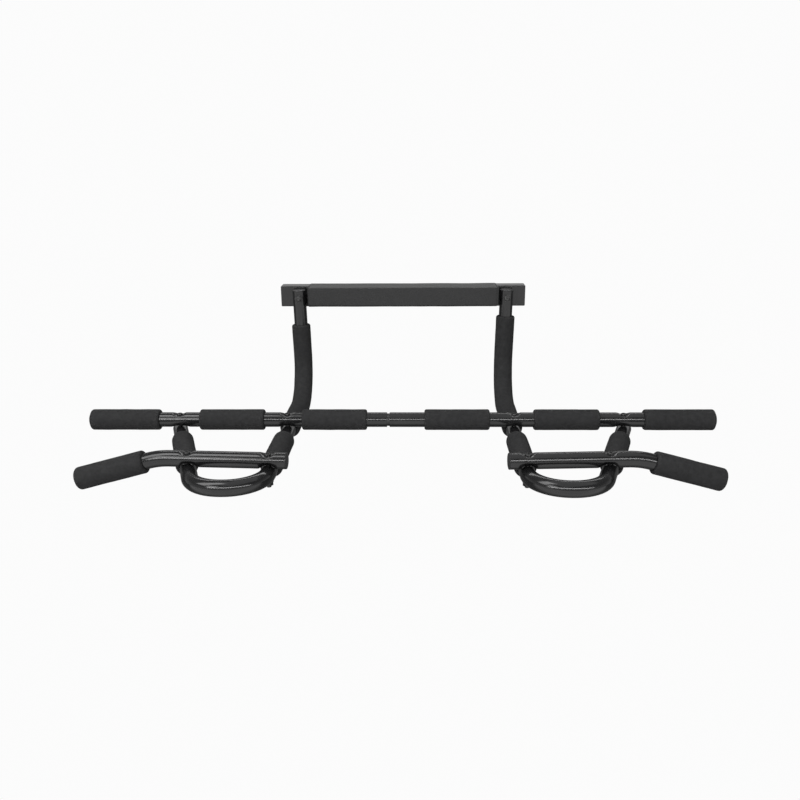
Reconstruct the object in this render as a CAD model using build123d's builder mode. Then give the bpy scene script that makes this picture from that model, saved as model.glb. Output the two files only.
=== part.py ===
from build123d import *
from math import ceil, cos, radians, sin, tan
import os

# Doorway pull-up bar.
# The origin is the middle of the face that rests on top of a door casing: the
# underside of the bracket's pad.  +X runs along the main bar, +Y points away
# from the person who pulls, +Z is up.  All lengths are in millimetres.

os.makedirs("parts", exist_ok=True)

# ------------------------------------------------------------------ tube and foam
TUBE_R = 11.0              # every load-carrying tube is 22 mm across
WALL = 1.5
BORE_R = TUBE_R - WALL
SPIGOT_R = 9.4             # reduced tube that slides into another tube's bore
SPIGOT_BORE_R = SPIGOT_R - WALL
FOAM_R = 15.5
FOAM_EDGE = 2.5            # rounding of a grip's outer edges
TOUCH = 0.05               # gap left between faces that bear on each other

# ------------------------------------------------------------------ door bracket
BRACKET_LEN = 413.0
BRACKET_H = 34.6
BRACKET_DEPTH = 24.0
BRACKET_WALL = 2.5
BRACKET_BEND = 1.5         # outer radius where the sheet is folded
BRACKET_LOW = -3.4         # the steel reaches this far below the pad, behind the casing
PAD_LEN = 315.0
PAD_DEPTH = 23.0           # fills the space between wall and bracket, beside the arms
PAD_LIP = 0.6              # laps over the top of the bracket
PAD_EDGE = 2.2
PAD_ROUND = 9.0            # large rounding along the top of the pad's wall side
BRACKET_FRONT = PAD_DEPTH / 2
BRACKET_TOP = BRACKET_LOW + BRACKET_H

# ------------------------------------------------------------------ main bar
ARM_REACH = 206.0          # main bar axis to the upright run of the arms
ARM_Y = BRACKET_FRONT - TUBE_R - TOUCH
BAR_Y = ARM_Y - ARM_REACH
BAR_Z = -133.9
BAR_HALF = 467.0           # to the outside of the end caps
JOINT_X = -18.0            # where the two halves meet
JOINT_GAP = 4.0
JOINT_SPIGOT_LEN = 160.0
JOINT_SCREW_OFFSET = 26.0
BAR_GRIP_LEN = 97.0
BAR_END_GRIP_LEN = 104.0
INNER_GRIP_X = {"left": -98.5, "right": 84.5}
MIDDLE_GRIP_X = {"left": -252.0, "right": 247.0}

# ------------------------------------------------------------------ side frames
LEG_X = 170.0              # inner leg, which runs on into the arm
OUTER_LEG_X = 332.0        # outer leg where it passes under the main bar
LOOP_OUTER_X = 257.7       # outer front corner of the loop before rounding
LOOP_REACH = 224.5         # main bar axis to the front of the loop
LOOP_R = 49.5
LEG_DROP = 20.2            # main bar axis down to the leg axis
FRAME_RISE = 0.0187        # the frame climbs this much per mm towards the front
LEG_TAIL = 18.0            # leg length behind the main bar axis
LEG_GRIP_START = 38.0
INNER_LEG_GRIP_END = 148.0
OUTER_LEG_GRIP_END = 143.0

# ------------------------------------------------------------------ upper arms
ARM_TOP = 27.4             # height of the arm's cap above the casing
ARM_SPLAY = 4.0            # how far the arm leans outwards by its top
ARM_BEND_R = 73.0
ARM_SPIGOT_LEN = 62.0
SLEEVE_START = 21.0        # behind the main bar axis
SLEEVE_TOP = {"left": BAR_Z + 102.0, "right": BAR_Z + 116.0}

# ------------------------------------------------------------------ handles
HANDLE_END_X = 143.7
HANDLE_BEND_X = 317.0
HANDLE_Y = -171.5          # inner end, measured from the main bar axis
HANDLE_Z = 0.3             # above the main bar axis
HANDLE_YAW = 3.2           # the handle swings back towards its tip
HANDLE_DROOP = 16.0        # the grip end points down
HANDLE_BEND_R = 110.0
HANDLE_TIP = 119.0         # along the slope, bend corner to the outside of the cap
HANDLE_GRIP_LEN = 98.0

# ------------------------------------------------------------------ fasteners
BOLT_R = 3.0
HOLE_R = 3.3
HEAD_R = 4.5
HEAD_H = 2.0
SOCKET_R = 2.0
SOCKET_DEPTH = 1.2
SEAT_DEPTH = 3.2           # dimple pressed into the tube under a bolt head
SEAT_R = 5.3
SEAT_MOUTH_R = 7.8
BOLT_STEP = 5.0            # frame bolts come in lengths this far apart
BRACKET_BOLT_LEN = 35.0
NUT_R = 5.8                # across the corners
NUT_H = 5.0
WASHER_R = 6.5
WASHER_T = 1.2
WASHER_HORN = 3.0          # how far a saddle washer reaches down a tube's flanks
CAP_FLANGE = 2.0
CAP_EDGE = 0.8
CAP_SKIRT = 14.0
ARM_CAP_SKIRT = 8.0        # stops short of the bracket bolt
CAP_WALL = 2.0

SIDES = {"left": -1, "right": 1}


def leg_z(y):
    """Height of the side frame's axis at a place along Y."""
    return BAR_Z - LEG_DROP + FRAME_RISE * (BAR_Y - y)


def leg_point(side, x, reach):
    """Point on the side frame's plane, reach mm in front of the main bar."""
    y = BAR_Y - reach
    return Vector(SIDES[side] * x, y, leg_z(y))


def outer_x(reach):
    """Distance of the outer leg from the middle, reach mm in front of the main bar."""
    return OUTER_LEG_X + (LOOP_OUTER_X - OUTER_LEG_X) * reach / LOOP_REACH


def handle_point(side, x):
    """Point on the straight inner run of a handle."""
    y = BAR_Y + HANDLE_Y + (x - HANDLE_END_X) * tan(radians(HANDLE_YAW))
    return Vector(SIDES[side] * x, y, BAR_Z + HANDLE_Z)


def crossing(side, leg):
    """Where a handle lies on the inner or outer leg, as a point on the handle's axis."""
    x = LEG_X
    for _ in range(6):
        reach = BAR_Y - handle_point(side, x).Y
        x = LEG_X if leg == "inner" else outer_x(reach)
    return handle_point(side, x)


def leg_axis(side, leg):
    """Direction of a leg, towards the rear."""
    if leg == "inner":
        return leg_point(side, LEG_X, 0) - leg_point(side, LEG_X, LOOP_REACH)
    return leg_point(side, OUTER_LEG_X, 0) - leg_point(side, LOOP_OUTER_X, LOOP_REACH)


def tube_between(start, end, outer, bore):
    """Straight tube from start to end."""
    axis = end - start
    with BuildPart() as tube:
        with BuildSketch(Plane(origin=start, z_dir=axis)):
            Circle(outer)
            Circle(bore, mode=Mode.SUBTRACT)
        extrude(amount=axis.length)
    return tube.part


def rod_along(start, axis, radius, length):
    """Solid round bar from start along axis."""
    with BuildPart() as rod:
        with BuildSketch(Plane(origin=start, z_dir=axis)):
            Circle(radius)
        extrude(amount=length)
    return rod.part


def swept(path, radius):
    """Round solid swept along a path of straight runs and arcs."""
    with BuildPart() as body:
        with BuildSketch(Plane(origin=path @ 0, z_dir=path % 0)):
            Circle(radius)
        sweep(path=path)
    return body.part


def seat(point, axis, grow=0.0):
    """Dimple under a bolt head: a shallow cone that opens outwards along axis."""
    floor = point + axis.normalized() * (TUBE_R - SEAT_DEPTH - grow)
    depth = SEAT_DEPTH + grow + 1.0
    with BuildPart() as dimple:
        with BuildSketch(Plane(origin=floor, z_dir=axis)):
            Circle(SEAT_R + grow)
        with BuildSketch(Plane(origin=floor + axis.normalized() * depth, z_dir=axis)):
            Circle(SEAT_MOUTH_R + grow)
        loft()
    return dimple.part


def saddle(point, axis, grow=0.0):
    """Cylinder that presses a crossing tube's outline into the tube above it."""
    half = axis.normalized() * 30.0
    return rod_along(point - half, axis, TUBE_R + TOUCH + grow, 60.0)


def pressed_tube(core, bore, seats=(), saddles=(), holes=()):
    """Tube whose wall is pushed inwards at its bolt seats and crossings."""
    dents = [(seat(*at), seat(*at, grow=WALL)) for at in seats]
    dents += [(saddle(*at), saddle(*at, grow=WALL)) for at in saddles]
    skins = [core.intersect(grown) for _, grown in dents]
    with BuildPart() as tube:
        add(core)
        add(bore, mode=Mode.SUBTRACT)
        for skin in skins:
            add(skin)
        for tool, _ in dents:
            add(tool, mode=Mode.SUBTRACT)
        for point, axis in holes:
            add(rod_along(point - axis.normalized() * 30.0, axis, HOLE_R, 60.0), mode=Mode.SUBTRACT)
    return tube.part


def grip(start, end):
    """Foam grip on a straight tube, with rounded outer edges."""
    axis = end - start
    with BuildPart() as foam:
        with BuildSketch(Plane(origin=start, z_dir=axis)):
            Circle(FOAM_R)
        extrude(amount=axis.length)
        fillet(foam.edges().filter_by(GeomType.CIRCLE), FOAM_EDGE)
        with BuildSketch(Plane(origin=start, z_dir=axis)):
            Circle(TUBE_R)
        extrude(amount=axis.length, mode=Mode.SUBTRACT)
    return foam.part


def plug(mouth, axis, skirt=CAP_SKIRT):
    """End plug: a flange over the tube's mouth and a hollow skirt inside the bore."""
    outward = axis.normalized()
    with BuildPart() as cap:
        with BuildSketch(Plane(origin=mouth, z_dir=axis)):
            Circle(TUBE_R)
        extrude(amount=CAP_FLANGE)
        rim = cap.edges().filter_by(GeomType.CIRCLE).sort_by(lambda e: (e.center() - mouth).dot(outward))
        fillet(rim[-1], CAP_EDGE)
        with BuildSketch(Plane(origin=mouth - outward * skirt, z_dir=axis)):
            Circle(BORE_R - TOUCH)
            Circle(BORE_R - CAP_WALL, mode=Mode.SUBTRACT)
        extrude(amount=skirt)
    return cap.part


def bolt(head_seat, axis, length):
    """Button-head bolt with a hexagon socket; axis points from the thread to the head."""
    up = axis.normalized()
    with BuildPart() as screw:
        with BuildSketch(Plane(origin=head_seat, z_dir=axis)):
            Circle(HEAD_R)
        extrude(amount=HEAD_H)
        crown = screw.edges().filter_by(GeomType.CIRCLE).sort_by(lambda e: (e.center() - head_seat).dot(up))
        fillet(crown[-1], HEAD_H * 0.6)
        with BuildSketch(Plane(origin=head_seat + up * HEAD_H, z_dir=axis)):
            RegularPolygon(SOCKET_R, 6)
        extrude(amount=-SOCKET_DEPTH, mode=Mode.SUBTRACT)
        with BuildSketch(Plane(origin=head_seat, z_dir=axis)):
            Circle(BOLT_R)
        extrude(amount=-length)
    return screw.part


def nut(face, axis):
    """Hexagon nut whose bearing face is at face; axis points away from the joint."""
    with BuildPart() as hexagon:
        with BuildSketch(Plane(origin=face, z_dir=axis)):
            RegularPolygon(NUT_R, 6)
            Circle(BOLT_R + TOUCH, mode=Mode.SUBTRACT)
        extrude(amount=NUT_H)
    return hexagon.part


def saddle_washer(point, tube_axis, outward):
    """Washer on a round tube: hollowed to fit the tube, flat on its outer side."""
    with BuildPart() as washer:
        with BuildSketch(Plane(origin=point + outward * (TUBE_R + WASHER_T), z_dir=outward)):
            Circle(WASHER_R)
            Circle(HOLE_R, mode=Mode.SUBTRACT)
        extrude(amount=-WASHER_T - WASHER_HORN)
        add(saddle(point, tube_axis), mode=Mode.SUBTRACT)
    return washer.part


def write(part, name):
    """Label a finished piece and write it."""
    part.label = name
    export_step(part, f"parts/{name}.step")


def write_group(solids, name):
    """Write identical pieces as separate solids of one node."""
    write(Compound(children=list(solids)), name)


UP = Vector(0, 0, 1)
FRONT = Vector(0, -1, 0)

# ================================================================== door bracket
arm_bolt_z = (BRACKET_LOW + BRACKET_TOP) / 2
arm_rise = ARM_TOP - CAP_FLANGE - leg_z(ARM_Y)


def arm_x(z):
    """The arm leans outwards as it rises."""
    return LEG_X + ARM_SPLAY * (z - leg_z(ARM_Y)) / arm_rise


bracket_back = BRACKET_FRONT + BRACKET_DEPTH
with BuildPart() as door_bracket:
    with BuildSketch(Plane.YZ.offset(-BRACKET_LEN / 2)):
        with Locations((BRACKET_FRONT, BRACKET_LOW)):
            Rectangle(BRACKET_DEPTH, BRACKET_H, align=Align.MIN)
        with Locations((BRACKET_FRONT + BRACKET_WALL, BRACKET_LOW + BRACKET_WALL)):
            Rectangle(BRACKET_DEPTH, BRACKET_H - 2 * BRACKET_WALL, align=Align.MIN, mode=Mode.SUBTRACT)
    extrude(amount=BRACKET_LEN)
    fillet(door_bracket.edges().filter_by(Axis.X).group_by(Axis.Y)[0], BRACKET_BEND)
    fillet(door_bracket.faces().sort_by(Axis.Y)[0].edges().filter_by(Axis.Z), BRACKET_BEND)
    with BuildSketch(Plane.XZ.offset(-BRACKET_FRONT)):
        with Locations((arm_x(arm_bolt_z), arm_bolt_z), (-arm_x(arm_bolt_z), arm_bolt_z)):
            Circle(HOLE_R)
    extrude(amount=-2 * BRACKET_WALL, mode=Mode.SUBTRACT)
write(door_bracket.part, "door_bracket")

# The pad fills the wall side of the bracket between the arms and laps over its top.
with BuildPart() as door_pad:
    with BuildSketch(Plane.YZ.offset(-PAD_LEN / 2)):
        with BuildLine():
            Polyline(
                (BRACKET_FRONT, 0),
                (BRACKET_FRONT, BRACKET_TOP),
                (bracket_back, BRACKET_TOP),
                (bracket_back, BRACKET_TOP + PAD_LIP),
                (-BRACKET_FRONT, BRACKET_TOP + PAD_LIP),
                (-BRACKET_FRONT, 0),
                close=True,
            )
        make_face()
    extrude(amount=PAD_LEN)
    wall_edges = door_pad.edges().filter_by(Axis.X).group_by(Axis.Y)[0].sort_by(Axis.Z)
    fillet(wall_edges[0], PAD_EDGE)
    wall_edges = door_pad.edges().filter_by(Axis.X).group_by(Axis.Y)[0].sort_by(Axis.Z)
    fillet(wall_edges[-1], PAD_ROUND)
write(door_pad.part, "door_pad")

# ================================================================== main bar
bar_legs = {"inner": LEG_X, "outer": OUTER_LEG_X}


def bar_half(side, start_x, end_x):
    """One half of the main bar, pressed at its two crossings and drilled for its screws."""
    core = rod_along(Vector(start_x, BAR_Y, BAR_Z), Vector(end_x - start_x, 0, 0), TUBE_R, abs(end_x - start_x))
    bore = rod_along(Vector(start_x, BAR_Y, BAR_Z), Vector(end_x - start_x, 0, 0), BORE_R, abs(end_x - start_x))
    at = [Vector(SIDES[side] * x, BAR_Y, BAR_Z) for x in bar_legs.values()]
    under = [(leg_point(side, x, 0), leg_axis(side, leg)) for leg, x in bar_legs.items()]
    return pressed_tube(core, bore, [(p, UP) for p in at], under, [(p, UP) for p in at])


joint_screw_x = {side: JOINT_X + SIDES[side] * JOINT_SCREW_OFFSET for side in SIDES}
for side, sign in SIDES.items():
    half = bar_half(side, JOINT_X + sign * JOINT_GAP / 2, sign * (BAR_HALF - CAP_FLANGE))
    with BuildPart() as main_bar:
        add(half)
        with Locations((joint_screw_x[side], BAR_Y + TUBE_R, BAR_Z)):
            Cylinder(BOLT_R + TOUCH, 3 * WALL, rotation=(90, 0, 0), mode=Mode.SUBTRACT)
    write(main_bar.part, f"main_bar_{side}")
    write(
        plug(Vector(sign * (BAR_HALF - CAP_FLANGE), BAR_Y, BAR_Z), Vector(sign, 0, 0)),
        f"bar_end_cap_{side}",
    )
    end = sign * (BAR_HALF - CAP_FLANGE)
    spans = {
        "inner": (INNER_GRIP_X[side] - BAR_GRIP_LEN / 2, INNER_GRIP_X[side] + BAR_GRIP_LEN / 2),
        "middle": (MIDDLE_GRIP_X[side] - BAR_GRIP_LEN / 2, MIDDLE_GRIP_X[side] + BAR_GRIP_LEN / 2),
        "outer": sorted((end, end - sign * BAR_END_GRIP_LEN)),
    }
    for place, (low, high) in spans.items():
        write(grip(Vector(low, BAR_Y, BAR_Z), Vector(high, BAR_Y, BAR_Z)), f"bar_grip_{side}_{place}")

spigot_start = Vector(JOINT_X - JOINT_SPIGOT_LEN / 2, BAR_Y, BAR_Z)
spigot_end = Vector(JOINT_X + JOINT_SPIGOT_LEN / 2, BAR_Y, BAR_Z)
with BuildPart() as bar_spigot:
    add(tube_between(spigot_start, spigot_end, SPIGOT_R, SPIGOT_BORE_R))
    with Locations(*[(x, BAR_Y + SPIGOT_R, BAR_Z) for x in joint_screw_x.values()]):
        Cylinder(BOLT_R + TOUCH, 4 * WALL, rotation=(90, 0, 0), mode=Mode.SUBTRACT)
write(bar_spigot.part, "bar_spigot")
JOINT_SCREW_LEN = TUBE_R - SPIGOT_BORE_R + 1.0
write_group(
    [bolt(Vector(x, BAR_Y + TUBE_R, BAR_Z), -FRONT, JOINT_SCREW_LEN) for x in joint_screw_x.values()],
    "bar_joint_screws",
)

# ================================================================== side frames, arms and handles
for side, sign in SIDES.items():
    inner_tail = leg_point(side, LEG_X, -LEG_TAIL)
    outer_tail = leg_point(side, outer_x(-LEG_TAIL), -LEG_TAIL)
    with BuildLine() as loop_line:
        FilletPolyline(
            inner_tail,
            leg_point(side, LEG_X, LOOP_REACH),
            leg_point(side, LOOP_OUTER_X, LOOP_REACH),
            outer_tail,
            radius=LOOP_R,
        )
    loop_path = loop_line.wires()[0]
    handle_leg_points = []
    for leg in ("inner", "outer"):
        over = crossing(side, leg)
        handle_leg_points.append(Vector(over.X, over.Y, leg_z(over.Y)))
    frame_holes = [leg_point(side, x, 0) for x in bar_legs.values()] + handle_leg_points
    write(
        pressed_tube(swept(loop_path, TUBE_R), swept(loop_path, BORE_R), holes=[(p, UP) for p in frame_holes]),
        f"side_frame_{side}",
    )
    write(plug(outer_tail, leg_axis(side, "outer")), f"leg_cap_{side}")
    write(
        grip(leg_point(side, LEG_X, LEG_GRIP_START), leg_point(side, LEG_X, INNER_LEG_GRIP_END)),
        f"leg_grip_{side}_inner",
    )
    write(
        grip(
            leg_point(side, outer_x(LEG_GRIP_START), LEG_GRIP_START),
            leg_point(side, outer_x(OUTER_LEG_GRIP_END), OUTER_LEG_GRIP_END),
        ),
        f"leg_grip_{side}_outer",
    )

    # Upper arm: its reduced end slides into the inner leg and shares that leg's bolt.
    shoulder = leg_point(side, LEG_X, -LEG_TAIL - TOUCH)
    corner = Vector(sign * LEG_X, ARM_Y, leg_z(ARM_Y))
    arm_top = Vector(sign * arm_x(ARM_TOP - CAP_FLANGE), ARM_Y, ARM_TOP - CAP_FLANGE)
    with BuildLine() as arm_line:
        FilletPolyline(shoulder, corner, arm_top, radius=ARM_BEND_R)
    arm_path = arm_line.wires()[0]
    arm_axis = corner - shoulder
    arm_bolt = Vector(sign * arm_x(arm_bolt_z), ARM_Y, arm_bolt_z)
    drilled = pressed_tube(swept(arm_path, TUBE_R), swept(arm_path, BORE_R), holes=[(arm_bolt, FRONT)])
    spigot_tip = shoulder - arm_axis.normalized() * ARM_SPIGOT_LEN
    neck_end = shoulder + arm_axis.normalized() * 2 * WALL
    with BuildPart() as upper_arm:
        add(drilled)
        add(tube_between(spigot_tip, neck_end, SPIGOT_R, SPIGOT_BORE_R))
        add(tube_between(shoulder, neck_end, TUBE_R, SPIGOT_BORE_R))
        add(rod_along(leg_point(side, LEG_X, 0) - UP * 15.0, UP, HOLE_R, 30.0), mode=Mode.SUBTRACT)
    write(upper_arm.part, f"upper_arm_{side}")
    write(plug(arm_top, arm_top - corner, ARM_CAP_SKIRT), f"arm_cap_{side}")

    sleeve_top = Vector(sign * arm_x(SLEEVE_TOP[side]), ARM_Y, SLEEVE_TOP[side])
    with BuildLine() as sleeve_line:
        FilletPolyline(leg_point(side, LEG_X, -SLEEVE_START), corner, sleeve_top, radius=ARM_BEND_R)
    sleeve_path = sleeve_line.wires()[0]
    with BuildPart() as arm_sleeve:
        add(swept(sleeve_path, FOAM_R))
        add(swept(sleeve_path, TUBE_R), mode=Mode.SUBTRACT)
    write(arm_sleeve.part, f"arm_sleeve_{side}")

    # Handle: lies across both legs, then bends down to its grip.
    bend = handle_point(side, HANDLE_BEND_X)
    yaw = radians(HANDLE_YAW)
    droop = radians(HANDLE_DROOP)
    slope = Vector(sign * cos(yaw) * cos(droop), sin(yaw) * cos(droop), -sin(droop))
    tip = bend + slope * (HANDLE_TIP - CAP_FLANGE)
    inner_end = handle_point(side, HANDLE_END_X + CAP_FLANGE)
    with BuildLine() as handle_line:
        FilletPolyline(inner_end, bend, tip, radius=HANDLE_BEND_R)
    handle_path = handle_line.wires()[0]
    over_legs = [crossing(side, leg) for leg in ("inner", "outer")]
    under = [(p, leg_axis(side, leg)) for p, leg in zip(handle_leg_points, ("inner", "outer"))]
    write(
        pressed_tube(
            swept(handle_path, TUBE_R),
            swept(handle_path, BORE_R),
            seats=[(p, UP) for p in over_legs],
            saddles=under,
            holes=[(p, UP) for p in over_legs],
        ),
        f"handle_{side}",
    )
    write(grip(tip - slope * HANDLE_GRIP_LEN, tip), f"handle_grip_{side}")
    write(plug(tip, slope), f"handle_tip_cap_{side}")
    write(plug(inner_end, inner_end - bend), f"handle_inner_cap_{side}")

# ================================================================== fasteners
frame_joints = []          # bolt head seat, point on the leg axis below it, leg direction
for side in SIDES:
    for leg, x in bar_legs.items():
        on_bar = Vector(SIDES[side] * x, BAR_Y, BAR_Z)
        frame_joints.append((on_bar, leg_point(side, x, 0), leg_axis(side, leg)))
        over = crossing(side, leg)
        frame_joints.append((over, Vector(over.X, over.Y, leg_z(over.Y)), leg_axis(side, leg)))

arm_bolts = [Vector(sign * arm_x(arm_bolt_z), ARM_Y, arm_bolt_z) for sign in SIDES.values()]
arm_up = {sign: Vector(sign * ARM_SPLAY, 0, arm_rise) for sign in SIDES.values()}
dimple_floor = TUBE_R - SEAT_DEPTH + TOUCH
below_leg = TUBE_R + WASHER_T + NUT_H
frame_bolts = []
for top, low, _ in frame_joints:
    clamped = dimple_floor + top.Z - low.Z + below_leg
    frame_bolts.append(bolt(top + UP * dimple_floor, UP, BOLT_STEP * ceil(clamped / BOLT_STEP)))
write_group(frame_bolts, "frame_bolts")
write_group([nut(low - UP * (TUBE_R + WASHER_T), -UP) for _, low, _ in frame_joints], "frame_nuts")
write_group([saddle_washer(low, axis, -UP) for _, low, axis in frame_joints], "frame_saddle_washers")

head_face = TUBE_R + WASHER_T + TOUCH
write_group([bolt(p + FRONT * head_face, FRONT, BRACKET_BOLT_LEN) for p in arm_bolts], "bracket_bolts")
write_group(
    [saddle_washer(p, axis, FRONT) for p, axis in zip(arm_bolts, arm_up.values())],
    "bracket_saddle_washers",
)
washer_y = BRACKET_FRONT + BRACKET_WALL
washer_faces = [(Vector(p.X, washer_y, p.Z), Vector(p.X, washer_y + WASHER_T, p.Z)) for p in arm_bolts]
write_group([tube_between(near, far, WASHER_R, HOLE_R) for near, far in washer_faces], "bracket_washers")
write_group([nut(far, -FRONT) for _, far in washer_faces], "bracket_nuts")
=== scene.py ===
"""Looks of a doorway pull-up bar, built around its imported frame.

The steel tubes, foam grips, pad and plugs are modelled here in metres, where the frame has them.
"""

import logging
from contextlib import contextmanager
from dataclasses import dataclass, field
from enum import Enum
from math import cos, hypot, pi, radians, sin, tan
from typing import Callable, Iterator, Sequence

import bmesh
import bpy
from mathutils import Matrix, Quaternion, Vector


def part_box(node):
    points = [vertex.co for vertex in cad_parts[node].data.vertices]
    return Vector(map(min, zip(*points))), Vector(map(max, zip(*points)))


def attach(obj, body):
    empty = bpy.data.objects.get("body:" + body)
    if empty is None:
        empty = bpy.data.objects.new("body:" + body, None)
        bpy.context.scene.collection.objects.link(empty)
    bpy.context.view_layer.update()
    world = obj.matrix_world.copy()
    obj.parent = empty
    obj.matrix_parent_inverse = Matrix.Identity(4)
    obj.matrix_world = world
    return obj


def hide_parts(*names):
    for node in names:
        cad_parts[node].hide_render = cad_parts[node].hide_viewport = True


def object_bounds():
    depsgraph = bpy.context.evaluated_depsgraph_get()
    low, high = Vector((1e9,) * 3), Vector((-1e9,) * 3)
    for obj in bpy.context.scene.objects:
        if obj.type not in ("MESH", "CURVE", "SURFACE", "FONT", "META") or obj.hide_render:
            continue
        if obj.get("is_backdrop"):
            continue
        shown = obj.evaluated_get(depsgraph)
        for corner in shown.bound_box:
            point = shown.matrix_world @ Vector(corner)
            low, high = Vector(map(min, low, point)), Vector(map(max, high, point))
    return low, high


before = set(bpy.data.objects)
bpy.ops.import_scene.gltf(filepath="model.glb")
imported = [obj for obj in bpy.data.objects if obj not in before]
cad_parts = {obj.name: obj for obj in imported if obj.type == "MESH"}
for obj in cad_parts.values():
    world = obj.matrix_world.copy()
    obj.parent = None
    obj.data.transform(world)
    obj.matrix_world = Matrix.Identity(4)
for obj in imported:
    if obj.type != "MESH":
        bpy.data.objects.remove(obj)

log = logging.getLogger("pull_up_bar")

ROOT = "root"
UP = Vector((0, 0, 1))
MERGE = 0.00002
SMOOTH_ANGLE = radians(38)


class Side(Enum):
    """The half of the bar that a piece belongs to, with its sign along X."""

    LEFT = -1
    RIGHT = 1

    @property
    def label(self) -> str:
        """The side's word in the names of the pieces."""
        return self.name.lower()


class Leg(Enum):
    """One of the two legs of a side frame."""

    INNER = "inner"
    OUTER = "outer"


class Slot(Enum):
    """The record's material slots of the pieces that are modelled here."""

    STEEL = "powder_coat"
    GRIP = "grip_foam"
    PAD = "pad_foam"
    PLUG = "cap_plastic"


# ---------------------------------------------------------------------------- layout


@dataclass
class Layout:
    """Driving dimensions of the bar, in metres, with its places read from the frame."""

    tube: float = 0.011
    wall: float = 0.0015
    foam: float = 0.0155
    touch: float = 0.00005
    leg_x: float = 0.170
    outer_leg_x: float = 0.332
    loop_outer_x: float = 0.2577
    loop_reach: float = 0.2245
    loop_bend: float = 0.0495
    leg_drop: float = 0.0202
    frame_rise: float = 0.0187
    leg_tail: float = 0.018
    leg_grip_start: float = 0.038
    leg_grip_end: dict[Leg, float] = field(default_factory=lambda: {Leg.INNER: 0.148, Leg.OUTER: 0.143})
    arm_y: float = 0.00045
    arm_top: float = 0.0254
    arm_splay: float = 0.004
    arm_bend: float = 0.073
    sleeve_start: float = 0.021
    sleeve_gap: float = 0.0004
    handle_end_x: float = 0.1457
    handle_bend_x: float = 0.317
    handle_y: float = -0.1715
    handle_z: float = 0.0003
    handle_yaw: float = radians(3.2)
    handle_droop: float = radians(16)
    handle_bend: float = 0.110
    handle_run: float = 0.117
    handle_grip: float = 0.098
    handle_x_datum: float = 0.1437
    bar_y: float = 0.0
    bar_z: float = 0.0

    @classmethod
    def from_frame(cls) -> "Layout":
        """Reads the main bar's axis from the frame.

        Returns:
            The layout with its bar in place.
        """
        low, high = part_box("bar_end_cap_left")
        middle = (low + high) / 2
        return cls(bar_y=middle.y, bar_z=middle.z)

    def leg_z(self, y: float) -> float:
        """Height of the side frame's axis at a place along Y."""
        return self.bar_z - self.leg_drop + self.frame_rise * (self.bar_y - y)

    def leg_point(self, side: Side, x: float, reach: float) -> Vector:
        """Point on the side frame's plane, reach in front of the main bar.

        Args:
            side: the half of the bar.
            x: distance from the middle.
            reach: distance in front of the main bar's axis.

        Returns:
            The point in the row frame.
        """
        y = self.bar_y - reach
        return Vector((side.value * x, y, self.leg_z(y)))

    def outer_x(self, reach: float) -> float:
        """Distance of the outer leg from the middle, reach in front of the main bar."""
        return self.outer_leg_x + (self.loop_outer_x - self.outer_leg_x) * reach / self.loop_reach

    def on_leg(self, side: Side, leg: Leg, reach: float) -> Vector:
        """Point on a leg's axis, reach in front of the main bar.

        Args:
            side: the half of the bar.
            leg: the leg.
            reach: distance in front of the main bar's axis.

        Returns:
            The point in the row frame.
        """
        x = self.leg_x if leg is Leg.INNER else self.outer_x(reach)
        return self.leg_point(side, x, reach)

    def leg_heading(self, side: Side, leg: Leg) -> Vector:
        """Direction of a leg, towards the rear.

        Args:
            side: the half of the bar.
            leg: the leg.

        Returns:
            The unit direction.
        """
        return (self.on_leg(side, leg, 0) - self.on_leg(side, leg, self.loop_reach)).normalized()

    def loop_points(self, side: Side) -> list[Vector]:
        """Corners of a side frame, from the tail of its inner leg round to the outer one.

        Args:
            side: the half of the bar.

        Returns:
            The four points of the path before its corners are rounded.
        """
        return [
            self.on_leg(side, Leg.INNER, -self.leg_tail),
            self.on_leg(side, Leg.INNER, self.loop_reach),
            self.leg_point(side, self.loop_outer_x, self.loop_reach),
            self.on_leg(side, Leg.OUTER, -self.leg_tail),
        ]

    def handle_point(self, side: Side, x: float) -> Vector:
        """Point on the straight inner run of a handle.

        Args:
            side: the half of the bar.
            x: distance from the middle.

        Returns:
            The point in the row frame.
        """
        y = self.bar_y + self.handle_y + (x - self.handle_x_datum) * tan(self.handle_yaw)
        return Vector((side.value * x, y, self.bar_z + self.handle_z))

    def handle_points(self, side: Side) -> list[Vector]:
        """Path of a handle, from its inner end over its bend to its tip.

        Args:
            side: the half of the bar.

        Returns:
            The three points of the path before its corner is rounded.
        """
        start = self.handle_point(side, self.handle_end_x)
        bend = self.handle_point(side, self.handle_bend_x)
        return [start, bend, bend + self.handle_slope(side) * self.handle_run]

    def handle_slope(self, side: Side) -> Vector:
        """Direction of a handle's grip, towards its tip.

        Args:
            side: the half of the bar.

        Returns:
            The unit direction.
        """
        flat = cos(self.handle_droop)
        yaw = self.handle_yaw
        return Vector((side.value * cos(yaw) * flat, sin(yaw) * flat, -sin(self.handle_droop)))

    def crossing(self, side: Side, leg: Leg) -> Vector:
        """Where a handle lies on a leg, as a point on the handle's axis, closed in on step by step.

        Args:
            side: the half of the bar.
            leg: the leg.

        Returns:
            The point in the row frame.
        """
        x = self.leg_x
        for _ in range(6):
            reach = self.bar_y - self.handle_point(side, x).y
            x = self.leg_x if leg is Leg.INNER else self.outer_x(reach)
        return self.handle_point(side, x)

    def arm_x(self, z: float) -> float:
        """Distance of an arm from the middle at a height: it leans outwards as it rises."""
        foot = self.leg_z(self.arm_y)
        return self.leg_x + self.arm_splay * (z - foot) / (self.arm_top - foot)

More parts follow.
